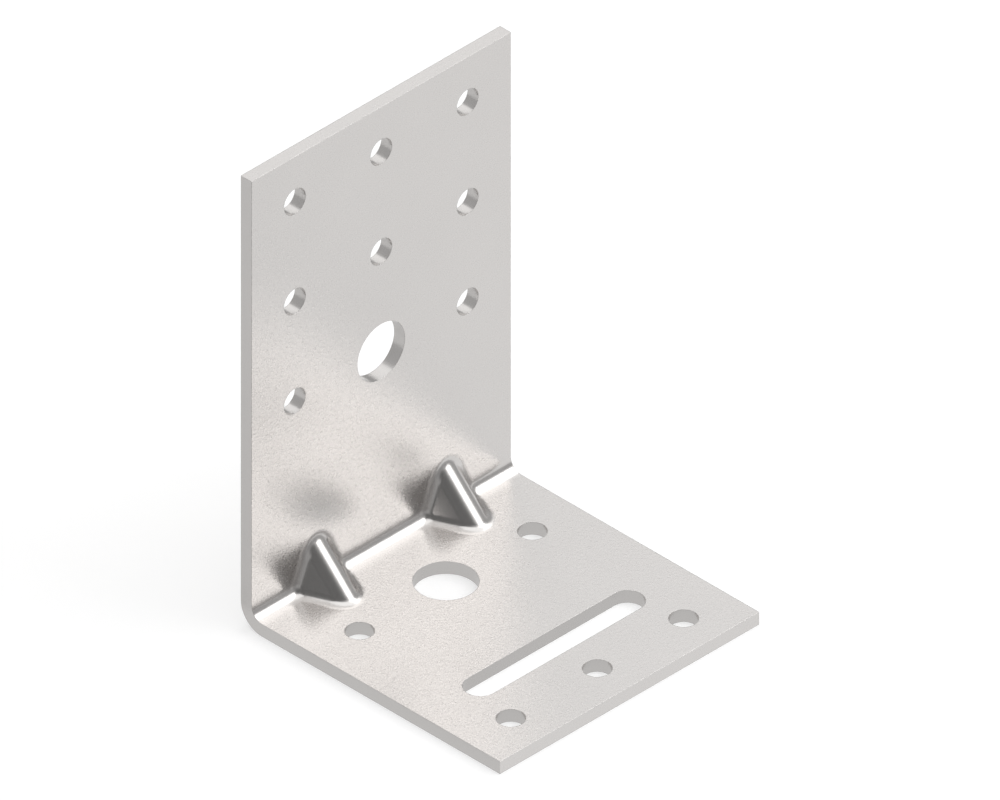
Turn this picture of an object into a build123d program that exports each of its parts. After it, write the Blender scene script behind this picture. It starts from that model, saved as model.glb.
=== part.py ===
from build123d import *
import math
import os

# Angle bracket folded from one piece of steel sheet, with two ribs pressed across the fold.
# Millimetres and degrees. X runs across the width, the base leg lies on Z = 0 with its free
# end towards -Y, and the wall leg stands at its back. The origin is under the base's middle.

# The sheet and its two legs, measured over the outside
sheet = 2.5
width = 60.0
base_length = 60.0
wall_height = 90.0
bend_radius = 2.4  # inside the fold

# The pressed ribs: a rounded V, which the punch pushes out from behind the fold
rib_spacing = 30.0
rib_leg = 9.1  # from the sharp inside corner to the crest, along either leg
rib_half_angle = 32.0
rib_nose_radius = 0.5  # in the hollow behind, so the crest in front has the sheet on top
rib_root_radius = 2.1  # where the flanks run out into the two legs

# The punched holes
nail_hole = 5.0
bolt_hole = 11.0
slot_width = 6.0
slot_length = 40.0

# Where the holes are
column_pitch = 20.0
wall_row_pitch = 20.0
wall_end_margin = 9.0  # from the top edge to the first row
base_end_margin = 7.5  # from the free end to the first row
slot_setback = 17.5  # from the free end to the slot
heel_setback = 17.5  # from the back of the wall leg to the row with the bolt hole

free_end = -base_length / 2
heel = base_length / 2
wall_face = heel - sheet
columns = (-column_pitch, 0, column_pitch)
wall_bolt_row = wall_height - wall_end_margin - 2 * wall_row_pitch
base_bolt_row = heel - heel_setback
base_end_row = free_end + base_end_margin
slot_row = free_end + slot_setback


def block_behind_sheet(depth):
    """The space behind the bracket's inner faces as a block, with the fold rounded."""
    back = heel + depth
    corner = (wall_face, sheet)
    outline = Polyline(
        corner, (wall_face, wall_height), (back, wall_height),
        (back, -depth), (free_end, -depth), (free_end, sheet), close=True,
    )
    section = make_face(outline)
    section = fillet(section.vertices().sort_by_distance(corner)[0], bend_radius)
    return extrude(Plane.YZ * section, amount=width / 2, both=True)


def rib_section():
    """The rib's rounded V, with its origin on the fold's sharp inside corner."""
    crest_radius = rib_nose_radius + sheet
    crest = rib_leg / math.sqrt(2)
    tip = crest + crest_radius * (1 / math.sin(math.radians(rib_half_angle)) - 1)
    half_width = (tip + sheet) * math.tan(math.radians(rib_half_angle))
    vee = make_face(Polyline((-half_width, -sheet), (half_width, -sheet), (0, tip), close=True))
    return fillet(vee.vertices().sort_by(Axis.Y)[-1], crest_radius)


def rib_bar(x):
    """A bar of the rib's section, which runs at 45 degrees from the wall leg into the base."""
    across_corner = Plane(origin=(x, wall_face, sheet), x_dir=(1, 0, 0), z_dir=(0, -1, -1))
    return extrude(across_corner * rib_section(), amount=rib_leg + sheet, both=True)


def cut_sides(block):
    """The six faces of a block that lie on its bounding box."""
    sides = []
    for axis in (Axis.X, Axis.Y, Axis.Z):
        ordered = block.faces().filter_by(GeomType.PLANE).sort_by(axis)
        sides += [ordered[0], ordered[-1]]
    return sides


def pressed_sheet():
    """The bare folded sheet: its ribs stand out in front and are hollow behind."""
    block = block_behind_sheet(depth=2 * rib_leg)
    ribs = [rib_bar(x) for x in (-rib_spacing / 2, rib_spacing / 2)]
    front = block + ribs
    front = fillet(new_edges(block, *ribs, combined=front), rib_root_radius)
    return offset(front, amount=-sheet, openings=cut_sides(front))


def punched_row(size_at_middle, y):
    """A row of round holes at one height of a leg, with its own size on the middle line."""
    row = Sketch()
    for x in columns:
        row += Pos(x, y) * Circle((nail_hole if x else size_at_middle) / 2)
    return row


def wall_punches():
    """Two rows of nail holes, and below them a row with the bolt hole in its middle."""
    holes = punched_row(bolt_hole, wall_bolt_row)
    for row in (1, 2):
        holes += punched_row(nail_hole, wall_bolt_row + row * wall_row_pitch)
    wall_plane = Plane.XZ.offset(-wall_face)
    return extrude(wall_plane * holes, amount=2 * sheet, both=True)


def base_punches():
    """The row with the bolt hole nearest the fold, the slot, and the row at the free end."""
    holes = punched_row(bolt_hole, base_bolt_row)
    holes += Pos(0, slot_row) * SlotOverall(slot_length, slot_width)
    holes += punched_row(nail_hole, base_end_row)
    return extrude(holes, amount=2 * sheet, both=True)


def angle_bracket():
    return pressed_sheet() - wall_punches() - base_punches()


os.makedirs("parts", exist_ok=True)
export_step(angle_bracket(), "parts/angle_bracket.step")
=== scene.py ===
"""The looks of the angle bracket: zinc-plated steel sheet on a pale studio floor."""
import math

import bmesh
import bpy
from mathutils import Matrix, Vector


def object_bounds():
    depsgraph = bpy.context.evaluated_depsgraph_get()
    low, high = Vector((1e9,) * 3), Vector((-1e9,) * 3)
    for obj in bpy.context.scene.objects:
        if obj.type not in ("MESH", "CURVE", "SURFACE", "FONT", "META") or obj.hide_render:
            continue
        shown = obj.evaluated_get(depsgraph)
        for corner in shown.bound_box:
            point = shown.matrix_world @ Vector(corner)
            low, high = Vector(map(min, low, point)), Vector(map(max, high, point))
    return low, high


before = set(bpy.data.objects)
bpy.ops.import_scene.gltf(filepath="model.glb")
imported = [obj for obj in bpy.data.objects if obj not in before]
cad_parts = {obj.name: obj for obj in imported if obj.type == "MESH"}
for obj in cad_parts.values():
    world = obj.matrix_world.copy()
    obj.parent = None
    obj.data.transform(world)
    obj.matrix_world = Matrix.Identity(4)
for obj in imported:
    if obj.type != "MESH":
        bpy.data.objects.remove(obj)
cad_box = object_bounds()

MM = 0.001

# The camera looks along a cube's diagonal with parallel rays, as in an isometric drawing
IMAGE_WIDTH = 1000
PIXELS_PER_MM = 6.1088
VIEW_AZIMUTH = math.radians(-45)
VIEW_ELEVATION = math.atan(1 / math.sqrt(2))
VIEW_DISTANCE = 0.6

# Zinc-plated sheet: two tints in clouds of about a centimetre, and a grain finer than a millimetre
ZINC_LIGHT = (0.705, 0.685, 0.671, 1)
ZINC_DARK = (0.675, 0.656, 0.642, 1)
CLOUD_SCALE = 90
GRAIN_SCALE = 2600
GRAIN_HEIGHT = 0.025 * MM
EDGE_RADIUS = 0.15 * MM
# The grain varies the roughness, from the same lowest value up to a higher one on the legs
ROUGHNESS_LOW = 0.22
ROUGHNESS_HIGH_ON_FOLD_AND_RIBS = 0.24
ROUGHNESS_HIGH_ON_LEGS = 0.3
# The legs are where the normal is nearly along Y or Z, and fade out between these two values
LEGS_FADE_OUT = 0.97
LEGS_FULL = 0.999

# The studio
ROOM_LIGHT = 0.3
FLOOR_SIZE = 8
FLOOR_COLOUR = (0.50, 0.50, 0.50, 1)
FLOOR_LIFT = 0.56
FLOOR_LIFT_IN_METAL = 0.22
PANEL_DISTANCE = 1.5
PANEL_STEPS = 24
CARD_HEIGHT = 0.05 * MM
FEATHER_START = -22
FEATHER_WIDTH = 11
FEATHER_BRIGHTNESS = (0.2, 0.32, 0.55)


def direction(azimuth, elevation):
    """The way from the object to a point round it; azimuth 0 is at -Y, in front, and 90 at +X."""
    flat = math.cos(elevation)
    return Vector((math.sin(azimuth) * flat, -math.cos(azimuth) * flat, math.sin(elevation)))


def material(name):
    made = bpy.data.materials.new(name)
    made.use_nodes = True
    made.node_tree.nodes.clear()
    return made, made.node_tree


def add(tree, kind, **inputs):
    """A node of that kind with its sockets set, or linked where a socket is given."""
    node = tree.nodes.new(kind)
    for key, value in inputs.items():
        socket = node.inputs[key.replace("_", " ")]
        if isinstance(value, bpy.types.NodeSocket):
            tree.links.new(value, socket)
        else:
            socket.default_value = value
    return node


def maths(tree, operation, *values):
    """The result of a math node, with each of its values set or linked."""
    node = tree.nodes.new("ShaderNodeMath")
    node.operation = operation
    for socket, value in zip(node.inputs, values):
        if isinstance(value, bpy.types.NodeSocket):
            tree.links.new(value, socket)
        else:
            socket.default_value = value
    return node.outputs[0]


def flat_legs(tree, coordinates):
    """1 on the two flat legs of the sheet, and 0 on its cut sides, the fold and the ribs."""
    across = add(tree, "ShaderNodeSeparateXYZ", Vector=coordinates.outputs["Normal"])
    sides = [maths(tree, "ABSOLUTE", across.outputs[axis]) for axis in ("Y", "Z")]
    flatter = maths(tree, "MAXIMUM", *sides)
    mask = add(
        tree, "ShaderNodeMapRange",
        Value=flatter, From_Min=LEGS_FADE_OUT, From_Max=LEGS_FULL,
    )
    return mask.outputs["Result"]


def zinc_steel():
    made, tree = material("zinc_steel")
    coordinates = add(tree, "ShaderNodeTexCoord")
    place = coordinates.outputs["Object"]
    grain = add(
        tree, "ShaderNodeTexNoise", Vector=place, Scale=GRAIN_SCALE, Detail=1, Roughness=0.6,
    )
    clouds = add(
        tree, "ShaderNodeTexNoise", Vector=place, Scale=CLOUD_SCALE, Detail=4, Roughness=0.5,
    )
    tint = tree.nodes.new("ShaderNodeMix")
    tint.data_type = "RGBA"
    tree.links.new(clouds.outputs["Fac"], tint.inputs["Factor"])
    tint.inputs["A"].default_value = ZINC_DARK
    tint.inputs["B"].default_value = ZINC_LIGHT
    tinted = tint.outputs[2]  # the mix node's colour
    on_legs = flat_legs(tree, coordinates)
    highest = add(
        tree, "ShaderNodeMapRange",
        Value=on_legs, To_Min=ROUGHNESS_HIGH_ON_FOLD_AND_RIBS, To_Max=ROUGHNESS_HIGH_ON_LEGS,
    )
    sheen = add(
        tree, "ShaderNodeMapRange",
        Value=grain.outputs["Fac"], To_Min=ROUGHNESS_LOW, To_Max=highest.outputs["Result"],
    )
    edges = add(tree, "ShaderNodeBevel", Radius=EDGE_RADIUS)
    bump = add(
        tree, "ShaderNodeBump",
        Height=grain.outputs["Fac"], Strength=on_legs, Distance=GRAIN_HEIGHT,
        Normal=edges.outputs["Normal"],
    )
    metal = add(
        tree, "ShaderNodeBsdfPrincipled",
        Base_Color=tinted, Metallic=1.0, Roughness=sheen.outputs["Result"],
        Normal=bump.outputs["Normal"],
    )
    add(tree, "ShaderNodeOutputMaterial", Surface=metal.outputs["BSDF"])
    return made


def seen_directly(tree, to_camera, in_metal):
    """How strong a background is to the camera and in metal or glass, and 0 for its light."""
    path = add(tree, "ShaderNodeLightPath")
    for_camera = maths(tree, "MULTIPLY", path.outputs["Is Camera Ray"], to_camera)
    mirrored = maths(
        tree, "MAXIMUM", path.outputs["Is Glossy Ray"], path.outputs["Is Transmission Ray"],
    )
    return maths(tree, "MULTIPLY_ADD", mirrored, in_metal, for_camera)


def studio_world():
    """A dim white room as a light, and a white background."""
    world = bpy.data.worlds.new("studio")
    world.use_nodes = True
    tree = world.node_tree
    tree.nodes.clear()
    seen = seen_directly(tree, to_camera=1.0, in_metal=1.0)
    strength = maths(tree, "MAXIMUM", seen, ROOM_LIGHT)
    white = add(tree, "ShaderNodeBackground", Color=(1, 1, 1, 1), Strength=strength)
    add(tree, "ShaderNodeOutputWorld", Surface=white.outputs["Background"])
    bpy.context.scene.world = world


def studio_floor():
    """A pale floor that is lifted to white for the camera, and keeps the shadow."""
    bpy.ops.mesh.primitive_plane_add(size=FLOOR_SIZE, location=(0, 0, 0))
    floor = bpy.context.object
    floor.name = "floor"
    made, tree = material("floor_white")
    matt = add(tree, "ShaderNodeBsdfDiffuse", Color=FLOOR_COLOUR)
    lift = seen_directly(tree, to_camera=FLOOR_LIFT, in_metal=FLOOR_LIFT_IN_METAL)
    glow = add(tree, "ShaderNodeEmission", Color=(1, 1, 1, 1), Strength=lift)
    both = tree.nodes.new("ShaderNodeAddShader")
    tree.links.new(matt.outputs["BSDF"], both.inputs[0])
    tree.links.new(glow.outputs["Emission"], both.inputs[1])
    add(tree, "ShaderNodeOutputMaterial", Surface=both.outputs["Shader"])
    floor.data.materials.append(made)


def stage_glowing(name, mesh, brightness, is_lamp=False, in_metal=True):
    """Puts a glowing mesh into the studio, unseen by the camera.

    A lamp lights the scene. The others are cards that only the metal mirrors.
    """
    panel = bpy.data.objects.new(name, mesh)
    bpy.context.scene.collection.objects.link(panel)
    made, tree = material(name)
    glow = add(tree, "ShaderNodeEmission", Color=(1, 1, 1, 1), Strength=brightness)
    add(tree, "ShaderNodeOutputMaterial", Surface=glow.outputs["Emission"])
    mesh.materials.append(made)
    panel.visible_camera = False
    panel.visible_diffuse = is_lamp
    panel.visible_glossy = in_metal
    panel.visible_shadow = False


def studio_panel(name, azimuths, elevations, brightness, slope=(0, 0), **visibility):
    """A curved panel round the object, between those angles in degrees; brightness 1 is white.

    The slopes say how much the lower and the upper edge rise from one side to the other.
    """
    mesh = bpy.data.meshes.new(name)
    build = bmesh.new()
    rows = []
    for step in range(PANEL_STEPS + 1):
        up = step / PANEL_STEPS
        row = []
        for turn in range(PANEL_STEPS + 1):
            along = turn / PANEL_STEPS
            azimuth = math.radians(azimuths[0] + along * (azimuths[1] - azimuths[0]))
            lower = elevations[0] + along * slope[0]
            upper = elevations[1] + along * slope[1]
            elevation = math.radians(lower + up * (upper - lower))
            row.append(build.verts.new(direction(azimuth, elevation) * PANEL_DISTANCE))
        rows.append(row)
    for low, high in zip(rows, rows[1:]):
        for here in range(PANEL_STEPS):
            build.faces.new((low[here], low[here + 1], high[here + 1], high[here]))
    build.to_mesh(mesh)
    build.free()
    stage_glowing(name, mesh, brightness, **visibility)


def floor_card(name, low, high, brightness):
    """A flat card just over the floor, between two corners in millimetres."""
    mesh = bpy.data.meshes.new(name)
    corners = [(low[0], low[1]), (high[0], low[1]), (high[0], high[1]), (low[0], high[1])]
    mesh.from_pydata([(x * MM, y * MM, CARD_HEIGHT) for x, y in corners], [], [(0, 1, 2, 3)])
    stage_glowing(name, mesh, brightness)


def studio_panels():
    """The lamps, and the grey cards that give the metal its tones."""
    # The key: the ribs' crests mirror it, and the lower wall and the base do in two bounces
    studio_panel("key_left", (11, 40), (41, 58), 2.4, slope=(-12, 0), is_lamp=True)
    studio_panel("key", (40, 70), (29, 58), 2.4, slope=(5, 0), is_lamp=True)
    studio_panel("key_side", (70, 116), (34, 58), 2.0, is_lamp=True)
    # The overhead lamp would clip the base to white from above, so metal mirrors a plainer card
    studio_panel("overhead", (0, 360), (58, 90), 2.0, is_lamp=True, in_metal=False)
    studio_panel("overhead_card", (0, 360), (58, 90), 1.3)
    # The base on the right and the top edge
    studio_panel("fill_right", (116, 175), (27, 58), 1.06)
    # The dimmer band below the lamps, which darkens the fold's upper half
    studio_panel("horizon", (-22, 11), (-1, 24), 0.3)
    studio_panel("horizon_left", (11, 40), (-1, 24), 0.42, slope=(0, 5))
    studio_panel("horizon_key", (40, 70), (-1, 29), 0.42, slope=(0, 5))
    studio_panel("horizon_side", (70, 118), (-1, 34), 0.42, slope=(0, -7))
    studio_panel("horizon_right", (118, 165), (-1, 27), 0.4)
    # The key fades out to the left in steps
    for step, brightness in enumerate(FEATHER_BRIGHTNESS):
        start = FEATHER_START + step * FEATHER_WIDTH
        studio_panel(f"key_feather_{step}", (start, start + FEATHER_WIDTH), (24, 58), brightness)
    studio_panel("dark_under_key", (11, 40), (24, 41), 0.15, slope=(5, -12))
    # The dark side, which the ribs' left flanks mirror. Its low part is greyer for other views
    studio_panel("grey_low_left", (-62, -22), (-1, 20), 0.4)
    studio_panel("dark_high_left", (-62, -22), (20, 58), 0.15)
    studio_panel("dark_left", (-100, -62), (-1, 58), 0.15)
    studio_panel("grey_back", (-165, -100), (-1, 56), 0.47)


def floor_cards():
    """What the wall leg, the cut sides and the walls of the holes mirror of the floor."""
    floor_card("bounce_front", (-34, -50), (30, -30), 0.91)
    floor_card("floor_dark_front", (-34, -500), (30, -50), 0.3)
    floor_card("floor_dark_left", (-500, -500), (-34, 28), 0.3)
    floor_card("bounce_right", (30, -1000), (1000, 500), 0.91)
    floor_card("bounce_left", (-34, -30), (-30, 34), 0.71)
    floor_card("bounce_under", (-30, -30), (30, 30), 0.68)


def studio_camera():
    data = bpy.data.cameras.new("camera")
    data.type = "ORTHO"
    data.ortho_scale = IMAGE_WIDTH / PIXELS_PER_MM * MM
    camera = bpy.data.objects.new("camera", data)
    away = direction(VIEW_AZIMUTH, VIEW_ELEVATION)
    low, high = cad_box
    camera.location = (low + high) / 2 + away * VIEW_DISTANCE
    camera.rotation_mode = "QUATERNION"
    camera.rotation_quaternion = away.to_track_quat("Z", "Y")
    bpy.context.scene.collection.objects.link(camera)
    bpy.context.scene.camera = camera


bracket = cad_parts["angle_bracket"]
bracket.material_slots[0].material = zinc_steel()
studio_world()
studio_floor()
studio_panels()
floor_cards()
studio_camera()
bpy.context.scene.view_settings.view_transform = "Standard"
